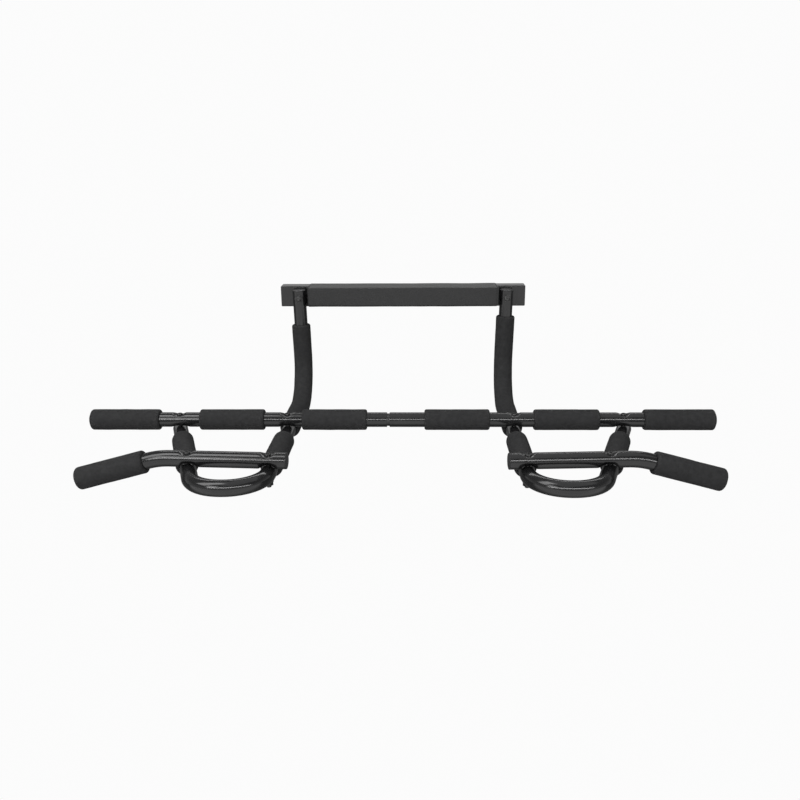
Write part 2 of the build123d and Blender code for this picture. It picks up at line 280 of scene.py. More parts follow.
    def arm_points(self, side: Side, start: float, top: float) -> list[Vector]:
        """Path of an upper arm or its sleeve, from behind the bar up to a height.

        Args:
            side: the half of the bar.
            start: distance of the first point behind the main bar's axis.
            top: height of the last point.

        Returns:
            The three points of the path before its corner is rounded.
        """
        corner = Vector((side.value * self.leg_x, self.arm_y, self.leg_z(self.arm_y)))
        end = Vector((side.value * self.arm_x(top), self.arm_y, top))
        return [self.on_leg(side, Leg.INNER, -start), corner, end]


# ---------------------------------------------------------------------------- modelling by operators


def deselect() -> None:
    """Leaves nothing selected."""
    bpy.ops.object.select_all(action="DESELECT")


def take(piece: bpy.types.Object) -> None:
    """Makes a piece the only one selected, and the active one.

    Args:
        piece: the piece to work on.
    """
    deselect()
    piece.select_set(True)
    bpy.context.view_layer.objects.active = piece


@contextmanager
def edit(piece: bpy.types.Object) -> Iterator[None]:
    """Works on a piece in edit mode with nothing selected.

    Args:
        piece: the piece to work on.
    """
    take(piece)
    bpy.ops.object.mode_set(mode="EDIT")
    bpy.ops.mesh.select_all(action="DESELECT")
    yield
    bpy.ops.object.mode_set(mode="OBJECT")


def pick(piece: bpy.types.Object, test: Callable[[Vector], bool]) -> None:
    """Selects, in edit mode, the vertices at some places.

    Args:
        piece: the piece in edit mode.
        test: says whether a place is wanted.
    """
    bpy.ops.mesh.select_mode(type="VERT")
    mesh = bmesh.from_edit_mesh(piece.data)
    for vertex in mesh.verts:
        vertex.select_set(test(vertex.co))
    mesh.select_flush(True)
    bmesh.update_edit_mesh(piece.data)


def pick_edges(piece: bpy.types.Object, test: Callable[[bmesh.types.BMEdge], bool]) -> None:
    """Selects, in edit mode, some edges.

    Args:
        piece: the piece in edit mode.
        test: says whether an edge is wanted.
    """
    bpy.ops.mesh.select_mode(type="EDGE")
    mesh = bmesh.from_edit_mesh(piece.data)
    for edge in mesh.edges:
        edge.select_set(test(edge))
    bmesh.update_edit_mesh(piece.data)


def pick_faces(piece: bpy.types.Object, test: Callable[[Vector, Vector], bool]) -> None:
    """Selects, in edit mode, the faces with some centres and normals.

    Args:
        piece: the piece in edit mode.
        test: says whether a face with this centre and normal is wanted.
    """
    bpy.ops.mesh.select_mode(type="FACE")
    mesh = bmesh.from_edit_mesh(piece.data)
    for face in mesh.faces:
        face.select_set(test(face.calc_center_median(), face.normal))
    bmesh.update_edit_mesh(piece.data)


def close_up(piece: bpy.types.Object) -> None:
    """Merges doubles and turns every face outwards.

    Args:
        piece: the piece to finish.
    """
    with edit(piece):
        bpy.ops.mesh.select_all(action="SELECT")
        bpy.ops.mesh.remove_doubles(threshold=MERGE)
        bpy.ops.mesh.normals_make_consistent(inside=False)


def apply_modifiers(piece: bpy.types.Object) -> None:
    """Applies a piece's modifiers in order.

    Args:
        piece: the piece to finish.
    """
    take(piece)
    for modifier in list(piece.modifiers):
        bpy.ops.object.modifier_apply(modifier=modifier.name)


def push_picked(height: float, spread: float) -> None:
    """Moves what is picked up or down, and draws the skin around it along.

    Args:
        height: how far up.
        spread: how far around the picked vertices the skin follows.
    """
    bpy.ops.transform.translate(
        value=(0, 0, height),
        use_proportional_edit=True,
        proportional_edit_falloff="SMOOTH",
        proportional_size=spread,
    )


def unsettle(piece: bpy.types.Object, size: float, height: float) -> None:
    """Gives a closed skin the slight waviness of soft foam.

    Args:
        piece: the closed piece.
        size: size of the waves.
        height: from their troughs to their crests.
    """
    clouds = bpy.data.textures.new(f"{piece.name}_waves", "CLOUDS")
    clouds.noise_scale = size
    waves = piece.modifiers.new("waves", "DISPLACE")
    waves.texture = clouds
    waves.texture_coords = "LOCAL"
    waves.strength = height
    waves.mid_level = 0.5
    apply_modifiers(piece)


def place(piece: bpy.types.Object, finish: bpy.types.Material, slot: Slot, *nodes: str) -> bpy.types.Object:
    """Smooths a finished piece, dresses it and lets it stand for its nodes.

    Args:
        piece: the finished piece.
        finish: its material.
        slot: the record's slot of that material; not used.
        nodes: the nodes that it replaces.

    Returns:
        The piece.
    """
    take(piece)
    bpy.ops.object.shade_smooth_by_angle(angle=SMOOTH_ANGLE)
    piece.data.materials.clear()
    piece.data.materials.append(finish)
    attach(piece, ROOT)
    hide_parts(*nodes)
    log.info("%s: %d faces, for %s", piece.name, len(piece.data.polygons), ", ".join(nodes))
    return piece


def paint_nodes(finish: bpy.types.Material, nodes: Sequence[str]) -> None:
    """Gives frame nodes a finish in their material slots.

    Args:
        finish: the material.
        nodes: the nodes' names.
    """
    for name in nodes:
        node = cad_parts[name]
        if not node.material_slots:
            node.data.materials.append(finish)
        for holder in node.material_slots:
            holder.material = finish
        log.info("%s: dressed with %s", name, finish.name)


class RingChain:
    """A round skin drawn ring by ring: extruded, turned and scaled from its open end."""

    def __init__(self, name: str, start: Vector, heading: Vector, radius: float, segments: int = 64) -> None:
        """Adds the first ring and goes into edit mode.

        Args:
            name: the piece's name.
            start: centre of the first ring.
            heading: direction in which the chain sets out.
            radius: radius of the first ring.
            segments: edges of each ring.
        """
        self.here = start.copy()
        self.heading = heading.normalized()
        self.radius = radius
        turn = self.heading.to_track_quat("Z", "Y").to_euler()
        deselect()
        bpy.ops.mesh.primitive_circle_add(
            vertices=segments, radius=radius, fill_type="NOTHING", location=start, rotation=turn
        )
        self.piece = bpy.context.object
        self.piece.name = name
        bpy.ops.object.transform_apply(location=True, rotation=True, scale=True)
        bpy.ops.object.mode_set(mode="EDIT")
        bpy.ops.mesh.select_all(action="SELECT")

    def forward(self, distance: float, steps: int = 1) -> None:
        """Extrudes the open end straight on.

        Args:
            distance: how far.
            steps: in how many rings.
        """
        step = self.heading * (distance / steps)
        for _ in range(steps):
            bpy.ops.mesh.extrude_region_move(TRANSFORM_OT_translate={"value": step})
        self.here += self.heading * distance

    def widen(self, radius: float) -> None:
        """Scales the open end about its centre.

        Args:
            radius: its new radius.
        """
        share = radius / self.radius
        bpy.ops.transform.resize(value=(share, share, share), center_override=self.here)
        self.radius = radius

    def ring(self, distance: float, radius: float) -> None:
        """Adds one ring of its own radius, further along.

        Args:
            distance: how far on.
            radius: the ring's radius.
        """
        self.forward(distance)
        self.widen(radius)

    def round_over(self, edge: float, rising: bool, steps: int = 5) -> None:
        """Rounds an outer edge with a quarter circle.

        Args:
            edge: radius of the rounding.
            rising: True from the end face out to the skin, False from the skin in.
            steps: rings in the quarter.
        """
        flat = self.radius if rising else self.radius - edge
        reached = 0.0
        for step in range(1, steps + 1):
            angle = pi / 2 * step / steps
            along = edge * (1 - cos(angle)) if rising else edge * sin(angle)
            out = edge * sin(angle) if rising else edge * cos(angle)
            self.ring(along - reached, flat + out)
            reached = along

    def turn(self, heading: Vector, bend: float, steps: int) -> None:
        """Spins the open end round a bend.

        Args:
            heading: direction after the bend.
            bend: radius of the bend at the axis.
            steps: rings in the bend.
        """
        axis = self.heading.cross(heading).normalized()
        angle = self.heading.angle(heading)
        centre = self.here + axis.cross(self.heading) * bend
        bpy.ops.mesh.spin(steps=steps, angle=angle, center=centre, axis=-axis)
        self.here = centre + Quaternion(axis, angle) @ (self.here - centre)
        self.heading = heading.normalized()

    def follow(self, points: Sequence[Vector], bend: float, spacing: float) -> None:
        """Runs on through the corners of a path, each rounded, to its last point.

        Args:
            points: the path; the chain stands between its first two points.
            bend: radius of each bend.
            spacing: distance between rings.
        """
        for corner, far in zip(points[1:], points[2:]):
            after = (far - corner).normalized()
            angle = self.heading.angle(after)
            run = (corner - self.here).length - bend * tan(angle / 2)
            self.forward(run, max(1, round(run / spacing)))
            self.turn(after, bend, max(4, round(bend * angle / spacing)))
        rest = (points[-1] - self.here).length
        self.forward(rest, max(1, round(rest / spacing)))

    def back(self) -> None:
        """Turns the chain round where it stands, to line what it has drawn."""
        self.heading = -self.heading

    def done(self) -> bpy.types.Object:
        """Leaves edit mode with doubles merged and faces outwards.

        Returns:
            The piece.
        """
        bpy.ops.object.mode_set(mode="OBJECT")
        close_up(self.piece)
        return self.piece


# ---------------------------------------------------------------------------- finishes


class Sheet:
    """The node tree of a new material, filled node by node."""

    def __init__(self, name: str) -> None:
        """Starts a material with an empty tree.

        Args:
            name: the material's name.
        """
        self.material = bpy.data.materials.new(name)
        self.material.use_nodes = True
        self.tree = self.material.node_tree
        self.tree.nodes.clear()
        self.output = self.add("ShaderNodeOutputMaterial")
        self.place = self.add("ShaderNodeTexCoord").outputs["Object"]

    def add(self, kind: str, **settings: object) -> bpy.types.Node:
        """Adds a node.

        Args:
            kind: the node's type.
            settings: its own settings, by attribute.

        Returns:
            The node.
        """
        node = self.tree.nodes.new(kind)
        for key, value in settings.items():
            setattr(node, key, value)
        return node

    def link(self, source: bpy.types.NodeSocket, target: bpy.types.NodeSocket) -> None:
        """Joins two sockets."""
        self.tree.links.new(source, target)

    def noise(self, scale: float, detail: float = 2.0, rough: float = 0.5) -> bpy.types.NodeSocket:
        """A cloudy pattern in the piece's own space.

        Args:
            scale: cells per metre.
            detail: layers of finer noise.
            rough: weight of the finer layers.

        Returns:
            Its value, from 0 to 1.
        """
        node = self.add("ShaderNodeTexNoise")
        node.inputs["Scale"].default_value = scale
        node.inputs["Detail"].default_value = detail
        node.inputs["Roughness"].default_value = rough
        self.link(self.place, node.inputs["Vector"])
        return node.outputs["Fac"]

    def cells(self, scale: float) -> bpy.types.NodeSocket:
        """Rounded cells, as of foam, in the piece's own space.

        Args:
            scale: cells per metre.

        Returns:
            The distance from each cell's middle.
        """
        node = self.add("ShaderNodeTexVoronoi", feature="SMOOTH_F1")
        node.inputs["Scale"].default_value = scale
        node.inputs["Smoothness"].default_value = 0.6
        self.link(self.place, node.inputs["Vector"])
        return node.outputs["Distance"]

    def ramp(
        self, value: bpy.types.NodeSocket, low: float, high: float, start: float = 0.3, end: float = 0.7
    ) -> bpy.types.NodeSocket:
        """Maps part of a pattern's range to a new range.

        Args:
            value: the pattern.
            low: result at start.
            high: result at end.
            start: where the range begins.
            end: where it ends.

        Returns:
            The mapped value.
        """
        node = self.add("ShaderNodeMapRange")
        for key, number in (("From Min", start), ("From Max", end), ("To Min", low), ("To Max", high)):
            node.inputs[key].default_value = number
        self.link(value, node.inputs["Value"])
        return node.outputs["Result"]

    def tint(
        self, value: bpy.types.NodeSocket, dark: Sequence[float], light: Sequence[float]
    ) -> bpy.types.NodeSocket:
        """Mixes two colours by a pattern.

        Args:
            value: the pattern, from 0 to 1.
            dark: colour at 0.
            light: colour at 1.

        Returns:
            The mixed colour.
        """
        node = self.add("ShaderNodeMix", data_type="RGBA")
        node.inputs["A"].default_value = (*dark, 1)
        node.inputs["B"].default_value = (*light, 1)
        self.link(value, node.inputs["Factor"])
        return node.outputs["Result"]

    def larger(self, one: bpy.types.NodeSocket, other: bpy.types.NodeSocket) -> bpy.types.NodeSocket:
        """Picks the larger of two values.

        Args:
            one: the first value.
            other: the second value.

        Returns:
            The larger value.
        """
        node = self.add("ShaderNodeMath", operation="MAXIMUM")
        self.link(one, node.inputs[0])
        self.link(other, node.inputs[1])
        return node.outputs["Value"]

    def relief(
        self, height: bpy.types.NodeSocket, depth: float, under: bpy.types.NodeSocket | None = None
    ) -> bpy.types.NodeSocket:
        """Raises the surface by a pattern.

        Args:
            height: the pattern.
            depth: its height in metres.
            under: a relief that it lies on.

        Returns:
            The bent normal.
        """
        node = self.add("ShaderNodeBump")
        node.inputs["Strength"].default_value = 1.0
        node.inputs["Distance"].default_value = depth
        self.link(height, node.inputs["Height"])
        if under is not None:
            self.link(under, node.inputs["Normal"])
        return node.outputs["Normal"]

    def shader(
        self,
        colour: bpy.types.NodeSocket,
        roughness: bpy.types.NodeSocket,
        normal: bpy.types.NodeSocket,
        **constants: float,
    ) -> bpy.types.Material:
        """Ends the tree in one surface shader.

        Args:
            colour: the base colour.
            roughness: the roughness.
            normal: the bent normal.
            constants: plain numbers for the shader's own sockets.

        Returns:
            The finished material.
        """
        node = self.add("ShaderNodeBsdfPrincipled")
        self.link(colour, node.inputs["Base Color"])
        self.link(roughness, node.inputs["Roughness"])
        self.link(normal, node.inputs["Normal"])
        for key, number in constants.items():
            node.inputs[key.replace("_", " ")].default_value = number
        self.link(node.outputs["BSDF"], self.output.inputs["Surface"])
        return self.material


@dataclass(frozen=True)
class PaintedSteel:
    """Semi-gloss black powder coat with a fine orange peel, handled and a little dusty."""

    name: str = "powder_coat_black"
    dark: tuple[float, float, float] = (0.010, 0.010, 0.0105)
    light: tuple[float, float, float] = (0.016, 0.016, 0.0165)
    rough: tuple[float, float] = (0.12, 0.20)
    peel_scale: float = 260.0
    peel_depth: float = 0.000002
    grit_scale: float = 1400.0
    grit_depth: float = 0.00000025
    coat: float = 0.2

    def build(self) -> bpy.types.Material:
        """Builds the material.

        Returns:
            The material.
        """
        sheet = Sheet(self.name)
        handled = sheet.ramp(sheet.noise(34.0, 4.0, 0.6), 0.0, 1.0)
        colour = sheet.tint(handled, self.dark, self.light)
        roughness = sheet.ramp(sheet.noise(60.0, 3.0, 0.55), *self.rough)
        peel = sheet.relief(sheet.noise(self.peel_scale, 1.0, 0.4), self.peel_depth)
        grit = sheet.relief(sheet.noise(self.grit_scale, 1.0, 0.5), self.grit_depth, peel)
        return sheet.shader(
            colour, roughness, grit, Specular_IOR_Level=0.5, Coat_Weight=self.coat, Coat_Roughness=0.14
        )


@dataclass(frozen=True)
class GripFoam:
    """Black closed-cell foam with faint mottling, matte unless its skin is smooth."""

    name: str = "grip_foam_black"
    dark: tuple[float, float, float] = (0.027, 0.027, 0.0275)
    light: tuple[float, float, float] = (0.040, 0.040, 0.041)
    rough: tuple[float, float] = (0.78, 0.95)
    cell_scale: float = 1100.0
    cell_depth: float = 0.00010
    specular: float = 0.18

    def build(self) -> bpy.types.Material:
        """Builds the material.

        Returns:
            The material.
        """
        sheet = Sheet(self.name)
        mottle = sheet.ramp(sheet.noise(150.0, 5.0, 0.65), 0.0, 1.0)
        colour = sheet.tint(mottle, self.dark, self.light)
        roughness = sheet.ramp(sheet.noise(420.0, 2.0), *self.rough)
        skin = sheet.relief(sheet.noise(260.0, 3.0, 0.6), self.cell_depth * 1.2)
        cells = sheet.relief(sheet.cells(self.cell_scale), self.cell_depth, skin)
        return sheet.shader(colour, roughness, cells, Specular_IOR_Level=self.specular)


@dataclass(frozen=True)
class PlugPlastic:
    """Moulded black plastic with a fine spark-eroded grain."""

    name: str = "plug_plastic_black"
    dark: tuple[float, float, float] = (0.022, 0.022, 0.023)
    light: tuple[float, float, float] = (0.036, 0.036, 0.037)
    rough: tuple[float, float] = (0.26, 0.40)
    grain_depth: float = 0.00004

    def build(self) -> bpy.types.Material:
        """Builds the material.

        Returns:
            The material.
        """
        sheet = Sheet(self.name)
        scuffs = sheet.ramp(sheet.noise(110.0, 4.0, 0.6), 0.0, 1.0)
        colour = sheet.tint(scuffs, self.dark, self.light)
        roughness = sheet.ramp(sheet.noise(240.0, 3.0), *self.rough)
        grain = sheet.relief(sheet.noise(1900.0, 2.0), self.grain_depth)
        return sheet.shader(colour, roughness, grain, Specular_IOR_Level=0.5)


@dataclass(frozen=True)
class BlackenedSteel:
    """Blackened fastener steel, worn brighter in patches."""

    name: str
    dark: float
    light: float
    rough: tuple[float, float] = (0.28, 0.46)
    pit_depth: float = 0.00003

    def build(self) -> bpy.types.Material:
        """Builds the material.

        Returns:
            The material.
        """
        sheet = Sheet(self.name)
        wear = sheet.ramp(sheet.noise(320.0, 5.0, 0.7), 0.0, 1.0, 0.45, 0.75)
        colour = sheet.tint(wear, (self.dark,) * 3, (self.light,) * 3)
        roughness = sheet.ramp(sheet.noise(700.0, 3.0), *self.rough)
        pits = sheet.relief(sheet.noise(1500.0, 2.0), self.pit_depth)
        return sheet.shader(colour, roughness, pits, Metallic=0.85, Specular_IOR_Level=0.5)


@dataclass
class Finishes:
    """All the finishes of the bar, built once."""

    steel: bpy.types.Material
    grip: bpy.types.Material
    pad: bpy.types.Material
    plug: bpy.types.Material
    bolt: bpy.types.Material
    nut: bpy.types.Material
    bare: bpy.types.Material

    @classmethod
    def build(cls) -> "Finishes":
        """Builds every finish.

        Returns:
            The set.
        """
        pad = GripFoam(
            name="pad_foam_black",
            dark=(0.010, 0.010, 0.0105),
            light=(0.016, 0.016, 0.0165),
            rough=(0.26, 0.36),
            cell_scale=800.0,
            cell_depth=0.00003,
            specular=0.5,
        )
        return cls(
            steel=PaintedSteel().build(),
            grip=GripFoam().build(),
            pad=pad.build(),
            plug=PlugPlastic().build(),
            bolt=BlackenedSteel("bolt_steel_black", 0.05, 0.16).build(),
            nut=BlackenedSteel("nut_steel_black", 0.04, 0.12).build(),
            bare=BlackenedSteel("spigot_steel", 0.06, 0.12).build(),
        )


# ---------------------------------------------------------------------------- parts that repeat


@dataclass
class FoamSleeve:
    """Foam tube pushed over a steel one, straight or bent, with moulded round ends."""

    name: str
    points: Sequence[Vector]
    outer: float
    bore: float
    bend: float = 0.1
    edge: float = 0.0030
    wave_size: float = 0.022
    unevenness: float = 0.0005
    spacing: float = 0.003

    def build(self) -> bpy.types.Object:
        """Draws the skin from bore to bore, and lines it more coarsely.

        Returns:
            The closed sleeve.
        """
        heading = (self.points[1] - self.points[0]).normalized()
        last = (self.points[-1] - self.points[-2]).normalized()
        chain = RingChain(self.name, self.points[0], heading, self.bore)
        chain.ring(0.0, self.outer - self.edge)
        chain.round_over(self.edge, rising=True)
        body = list(self.points[:-1]) + [self.points[-1] - last * self.edge]
        chain.follow(body, self.bend, self.spacing)
        chain.round_over(self.edge, rising=False)
        chain.ring(0.0, self.bore)
        chain.back()
        chain.follow(list(reversed(self.points)), self.bend, self.spacing * 4)
        piece = chain.done()
        unsettle(piece, self.wave_size, self.unevenness)
        return piece


@dataclass
class SteelTube:
    """Painted tube along a path, pressed flat where bolts and other tubes meet it."""

    name: str
    points: Sequence[Vector]
    radius: float
    wall: float
    bend: float = 0.1
    spacing: float = 0.0025
    seat_depth: float = 0.0032
    seat_radius: float = 0.0052
    seat_spread: float = 0.006
    saddle_spread: float = 0.009
    saddle_gap: float = 0.0002

    def draw(self) -> bpy.types.Object:
        """Draws the tube's outer skin.

        Returns:
            The open skin.
        """
        heading = (self.points[1] - self.points[0]).normalized()
        chain = RingChain(self.name, self.points[0], heading, self.radius)
        chain.follow(self.points, self.bend, self.spacing)
        return chain.done()

    def press_seat(self, piece: bpy.types.Object, at: Vector) -> None:
        """Presses a flat-bottomed dimple for a bolt head into the top of the tube.

        Args:
            piece: the skin.
            at: the point on the tube's axis below the bolt head.
        """
        floor = at.z + self.radius - self.seat_depth

        def under_head(place: Vector) -> bool:
            """Whether a place lies below the bolt head."""
            return place.z > at.z and hypot(place.x - at.x, place.y - at.y) < self.seat_radius

        def around_head(place: Vector) -> bool:
            """Whether a place lies on the brim of the dimple."""
            away = hypot(place.x - at.x, place.y - at.y)
            return place.z > at.z and self.seat_radius < away < self.seat_radius + self.seat_spread / 2

        with edit(piece):
            pick(piece, under_head)
            push_picked(-self.seat_depth, self.seat_spread)
            pick(piece, under_head)
            bpy.ops.transform.resize(value=(1, 1, 0), center_override=(at.x, at.y, floor))
            pick(piece, around_head)
            bpy.ops.mesh.vertices_smooth(factor=0.5, repeat=4)

    def press_saddle(self, piece: bpy.types.Object, at: Vector, heading: Vector, drop: float) -> None:
        """Presses the top of a crossing tube into the underside of this one.

        Args:
            piece: the skin.
            at: the point on this tube's axis above the crossing.
            heading: direction of the crossing tube.
            drop: height of this tube's axis above the crossing one's.
        """
        flat = Vector((heading.x, heading.y)).normalized()

        def on_crossing(place: Vector) -> bool:
            """Whether a place on the underside lies along the crossing tube."""
            away = Vector((place.x - at.x, place.y - at.y))
            across = abs(away.x * flat.y - away.y * flat.x)
            return place.z < at.z - self.radius / 2 and across < self.radius / 2

        with edit(piece):
            pick(piece, on_crossing)
            push_picked(2 * self.radius - drop + self.saddle_gap, self.saddle_spread)

    def thicken(self, piece: bpy.types.Object) -> None:
        """Gives the skin its wall, inwards.

        Args:
            piece: the skin.
        """
        wall = piece.modifiers.new("wall", "SOLIDIFY")
        wall.thickness = self.wall
        wall.offset = -1
        wall.use_rim = True
        apply_modifiers(piece)


@dataclass
class EndPlug:
    """Domed plastic plug pushed into a tube's mouth."""

    name: str
    mouth: Vector
    heading: Vector
    tube: float
    bore: float
    flange: float = 0.002
    skirt: float = 0.008
    dome: float = 0.0007
    dome_rings: int = 5
    lead: float = 0.0008
    step: float = 0.0002
    bevel: float = 0.0003
    rim: float = 0.0006
    crown: float = 0.0006

    def build(self) -> bpy.types.Object:
        """Draws the plug from the closed end of its skirt to the crown of its dome.

        Returns:
            The closed plug.
        """
        outward = self.heading.normalized()
        chain = RingChain(self.name, self.mouth - outward * self.skirt, outward, self.bore * 0.9, 48)
        chain.ring(self.lead, self.bore)
        chain.ring(self.skirt - self.lead - self.step, self.bore)
        chain.ring(self.step, self.tube - self.bevel)
        chain.ring(self.bevel, self.tube)
        chain.ring(self.flange - self.bevel - self.rim - self.dome, self.tube)
        chain.round_over(self.rim, rising=False, steps=4)
        share = pi / 2 / self.dome_rings
        for number in range(1, self.dome_rings + 1):
            radius = (self.tube - self.rim) * cos(share * number)
            rise = self.dome * (sin(share * number) - sin(share * (number - 1)))
            chain.ring(rise, max(radius, self.crown))
        piece = chain.done()
        with edit(piece):
            pick_edges(piece, lambda edge: edge.is_boundary)
            bpy.ops.mesh.fill_holes(sides=0)
        close_up(piece)
        return piece


# ---------------------------------------------------------------------------- sub-assemblies


@dataclass
class Assembly:
    """Part of the bar that is built of tubes, foam and plugs."""

    layout: Layout
    finishes: Finishes

    def add_foam(self, node: str, points: Sequence[Vector], bend: float = 0.1) -> None:
        """Pushes a foam sleeve over a tube.

        Args:
            node: the node that the sleeve replaces.
            points: its path.
            bend: radius of the path's bends.
        """
        layout = self.layout
        sleeve = FoamSleeve(f"foam_{node}", points, layout.foam, layout.tube + layout.touch, bend)
        place(sleeve.build(), self.finishes.grip, Slot.GRIP, node)

    def add_plug(self, name: str, node: str, mouth: Vector, heading: Vector, skirt: float = 0.008) -> None:
        """Pushes a plug into a tube's mouth.

        Args:
            name: the piece's name.
            node: the node that the plug replaces.
            mouth: centre of the tube's mouth.
            heading: direction out of the mouth.
            skirt: how deep the plug reaches into the tube.
        """
        layout = self.layout
        plug = EndPlug(name, mouth, heading, layout.tube, layout.tube - layout.wall, skirt=skirt)
        place(plug.build(), self.finishes.plug, Slot.PLUG, node)


@dataclass
class MainBar(Assembly):
    """The long bar: two halves joined in the middle, with six grips and two plugs."""

    def build(self) -> None:
        """Builds both halves with all that is on them."""
        for side in Side:
            self.build_half(side)
            self.build_grips(side)
            self.build_plug(side)
        paint_nodes(self.finishes.bare, ["bar_spigot"])

    def span(self, node: str) -> list[Vector]:
        """Finds where a node begins and ends along the bar's axis.

        Args:
            node: the node's name.

        Returns:
            Its left and its right end.
        """
        low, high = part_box(node)
        return [Vector((x, self.layout.bar_y, self.layout.bar_z)) for x in (low.x, high.x)]

    def build_half(self, side: Side) -> None:
        """Draws one half and presses it where the side frame crosses.

        Args:
            side: the half of the bar.
        """
        layout = self.layout
        node = f"main_bar_{side.label}"
        tube = SteelTube(f"bar_tube_{side.label}", self.span(node), layout.tube, layout.wall, spacing=0.002)
        skin = tube.draw()
        for leg in Leg:
            x = side.value * (layout.leg_x if leg is Leg.INNER else layout.outer_leg_x)
            at = Vector((x, layout.bar_y, layout.bar_z))
            tube.press_seat(skin, at)
            tube.press_saddle(skin, at, layout.leg_heading(side, leg), layout.leg_drop)
        tube.thicken(skin)
        place(skin, self.finishes.steel, Slot.STEEL, node)

    def build_grips(self, side: Side) -> None:
        """Builds one half's three grips.

        Args:
            side: the half of the bar.
        """
        for where in ("inner", "middle", "outer"):
            node = f"bar_grip_{side.label}_{where}"
            self.add_foam(node, self.span(node))

    def build_plug(self, side: Side) -> None:
        """Builds the plug in one half's outer end.

        Args:
            side: the half of the bar.
        """
        left, right = self.span(f"main_bar_{side.label}")
        mouth = left if side is Side.LEFT else right
        heading = Vector((side.value, 0, 0))
        self.add_plug(f"plug_bar_{side.label}", f"bar_end_cap_{side.label}", mouth, heading)


@dataclass
class SideFrames(Assembly):
    """The two U-shaped side frames with their leg grips and plugs."""

    def build(self) -> None:
        """Builds both frames."""
        for side in Side:
            self.build_loop(side)
            self.build_grips(side)
            self.build_plug(side)

    def build_loop(self, side: Side) -> None:
        """Draws one bent tube.

        Args:
            side: the half of the bar.
        """
        layout = self.layout
        tube = SteelTube(
            f"loop_tube_{side.label}",
            layout.loop_points(side),
            layout.tube,
            layout.wall,
            bend=layout.loop_bend,
            spacing=0.003,
        )
        skin = tube.draw()
        tube.thicken(skin)
        place(skin, self.finishes.steel, Slot.STEEL, f"side_frame_{side.label}")

    def build_grips(self, side: Side) -> None:
        """Builds the grip on each leg.

        Args:
            side: the half of the bar.
        """
        layout = self.layout
        for leg in Leg:
            reaches = (layout.leg_grip_start, layout.leg_grip_end[leg])
            ends = [layout.on_leg(side, leg, reach) for reach in reaches]
            self.add_foam(f"leg_grip_{side.label}_{leg.value}", ends)

    def build_plug(self, side: Side) -> None:
        """Builds the plug in the tail of the outer leg.

        Args:
            side: the half of the bar.
        """
        mouth = self.layout.on_leg(side, Leg.OUTER, -self.layout.leg_tail)
        heading = self.layout.leg_heading(side, Leg.OUTER)
        self.add_plug(f"plug_leg_{side.label}", f"leg_cap_{side.label}", mouth, heading)


@dataclass
class UpperArms(Assembly):
    """The two arms that rise to the door bracket, with their long foam sleeves."""

    def build(self) -> None:
        """Builds what is on both arms and dresses their tubes."""
        layout = self.layout
        for side in Side:
            node = f"arm_sleeve_{side.label}"
            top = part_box(node)[1].z - layout.sleeve_gap
            self.add_foam(node, layout.arm_points(side, layout.sleeve_start, top), layout.arm_bend)
            _, corner, mouth = layout.arm_points(side, layout.leg_tail, layout.arm_top)
            self.add_plug(
                f"plug_arm_{side.label}", f"arm_cap_{side.label}", mouth, mouth - corner, skirt=0.006
            )
        paint_nodes(self.finishes.steel, [f"upper_arm_{side.label}" for side in Side])


@dataclass
class Handles(Assembly):
    """The two cranked handles that lie across the side frames."""

    def build(self) -> None:
        """Builds both handles with their grips and plugs."""
        for side in Side:
            start, bend, tip = self.layout.handle_points(side)
            slope = self.layout.handle_slope(side)
            self.build_tube(side, [start, bend, tip])
            self.add_foam(f"handle_grip_{side.label}", [tip - slope * self.layout.handle_grip, tip])
            self.add_plug(f"plug_handle_tip_{side.label}", f"handle_tip_cap_{side.label}", tip, slope)
            self.add_plug(
                f"plug_handle_inner_{side.label}", f"handle_inner_cap_{side.label}", start, start - bend
            )

    def build_tube(self, side: Side, path: Sequence[Vector]) -> None:
        """Draws one handle's tube and presses it where it lies on the legs.

        Args:
            side: the half of the bar.
            path: the tube's path.
        """
        layout = self.layout
        tube = SteelTube(
            f"handle_tube_{side.label}",
            path,
            layout.tube,
            layout.wall,
            bend=layout.handle_bend,
            spacing=0.002,
        )
        skin = tube.draw()
        for leg in Leg:
            over = layout.crossing(side, leg)
            tube.press_seat(skin, over)
            tube.press_saddle(skin, over, layout.leg_heading(side, leg), over.z - layout.leg_z(over.y))
        tube.thicken(skin)
        place(skin, self.finishes.steel, Slot.STEEL, f"handle_{side.label}")


